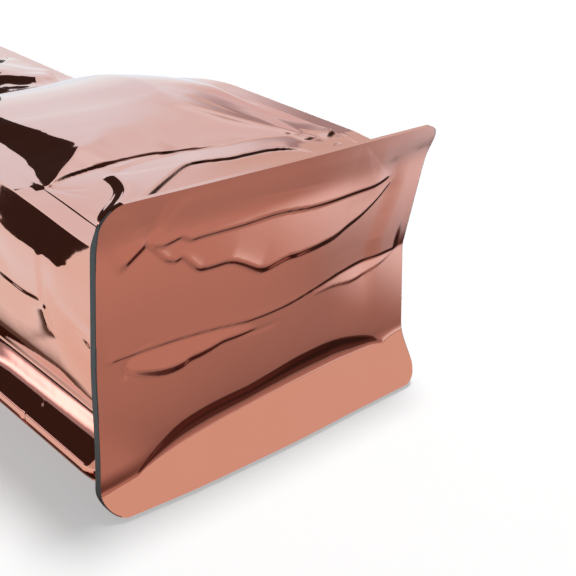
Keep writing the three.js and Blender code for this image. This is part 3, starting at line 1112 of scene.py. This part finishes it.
def litCloth(tree, axes):
    colour = heightTint(tree, axes["Z"], tentWall["tints"])
    for shade, *limits in tentWall["shades"]:
        share = None
        for axis, (none, full) in zip("XZZ", limits):
            part = addNode(tree, "ShaderNodeMapRange", {"From Min": none, "From Max": full},
                           {"Value": axes[axis]}).outputs["Result"]
            if share:
                part = addNode(tree, "ShaderNodeMath", links={0: share, 1: part},
                               operation="MULTIPLY").outputs[0]
            share = part
        toned = addNode(tree, "ShaderNodeMix", {"B": (*shade, 1)}, {"Factor": share, "A": colour},
                        data_type="RGBA", blend_type="MULTIPLY")
        colour = toned.outputs["Result"]
    return {"Color": colour}


def makeTentWall(aim):
    start, end = tentWall["compass"]
    step = tentWall["tallFrom"]
    few, many = tentWall["columns"]
    compass = np.concatenate([np.linspace(start, step, few), np.linspace(step, end, many)])
    top = np.repeat([tentWall["low"], tentWall["tall"]], [few, many])
    away = tentWall["distance"]
    top = np.tan(np.radians(top)) * away
    band("tent_wall", compass, tentWall["foot"], top, away, aim, glowing("lit_tent_cloth", litCloth))


# cloth behind the camera with a dimmer painted glow, darker towards its top, which the film mirrors only
# from the other sides
backWall = {
    "compass": (180, 285, 40),  # from, to and columns
    "distance": 1.3,
    "heights": (0.0, 1.7),
    "tints": [(0.0, (0.8, 0.86, 0.9)), (0.5, (0.7, 0.76, 0.8)), (1.1, (0.5, 0.53, 0.55)),
              (1.7, (0.12, 0.11, 0.11))],
}


def dimCloth(tree, axes):
    return {"Color": heightTint(tree, axes["Z"], backWall["tints"])}


def makeBackWall(aim):
    compass = np.linspace(*backWall["compass"])
    material = glowing("dim_tent_cloth", dimCloth)
    band("back_wall", compass, *backWall["heights"], backWall["distance"], aim, material)


# a bare tube low on the left, hottest along its middle
tube = {
    "compass": (-60, -37, 12),  # from, to and columns
    "distance": 1.1,
    "heights": (0.05, 0.24),
    "middle": 0.13,
    "halfWidth": 0.052,
    "glow": (0.5, 2.8),
    "tint": (0.85, 0.92, 1.1),
}


def tubeHeat(tree, axes):
    off = addNode(tree, "ShaderNodeMath", {1: tube["middle"]}, {0: axes["Z"]}, operation="SUBTRACT")
    apart = addNode(tree, "ShaderNodeMath", links={0: off.outputs[0]}, operation="ABSOLUTE")
    edge, middle = tube["glow"]
    heat = addNode(tree, "ShaderNodeMapRange",
                   {"From Min": 0.0, "From Max": tube["halfWidth"], "To Min": middle, "To Max": edge},
                   {"Value": apart.outputs[0]}, interpolation_type="SMOOTHSTEP")
    return {"Strength": heat.outputs["Result"]}


def makeTube(aim):
    material = glowing("lit_tube", tubeHeat, tube["tint"])
    band("tube_lamp", np.linspace(*tube["compass"]), *tube["heights"], tube["distance"], aim, material)


# Lamps

softbox = {
    "shape": "RECTANGLE",
    "size": (1.0, 0.62),
    "glow": 0.8,
    "tint": (0.95, 1.0, 1.0),
    "compass": 140,
    "height": 14,
    "distance": 1.1,
}
ceilingLamp = {
    "shape": "DISK",
    "size": (0.3, 0.3),
    "glow": 57.0,
    "tint": (1.0, 1.0, 1.0),
    "place": (0.17, -0.07, 1.22),
    "away": (0.17, 0.03, 1.22),
}


def hangLamp(name, lamp, place, away):
    # an area light that turns its back to the given direction
    data = bpy.data.lights.new(name, "AREA")
    data.shape = lamp["shape"]
    data.size, data.size_y = lamp["size"]
    area = data.size * data.size_y
    if lamp["shape"] == "DISK":
        area = area * math.pi / 4
    data.energy = math.pi * area * lamp["glow"]
    data.color = lamp["tint"]
    light = bpy.data.objects.new(name, data)
    light.matrix_world = Matrix.Translation(place) @ away.to_track_quat("Z", "Y").to_matrix().to_4x4()
    light.visible_camera = False
    bpy.context.scene.collection.objects.link(light)
    return light


def makeLamps(aim):
    compass, height = math.radians(softbox["compass"]), math.radians(softbox["height"])
    level = math.cos(height)
    away = Vector((math.sin(compass) * level, math.cos(compass) * level, math.sin(height)))
    hangLamp("front_right", softbox, aim + away * softbox["distance"], away)
    ceiling = hangLamp("ceiling", ceilingLamp, ceilingLamp["place"], Vector(ceilingLamp["away"]))
    ceiling.visible_glossy = False


def makeStage():
    floor = makeFloor()
    table = makeTable()
    makeRoom()
    ahead, above = room["aim"]
    aim = Vector((0, baseShift / 1000 + ahead, above))
    makeTentWall(aim)
    makeBackWall(aim)
    makeTube(aim)
    makeLamps(aim)
    bpy.context.scene.view_settings.view_transform = "Standard"


makeCamera()
makeStage()
print("camera, floor and light")
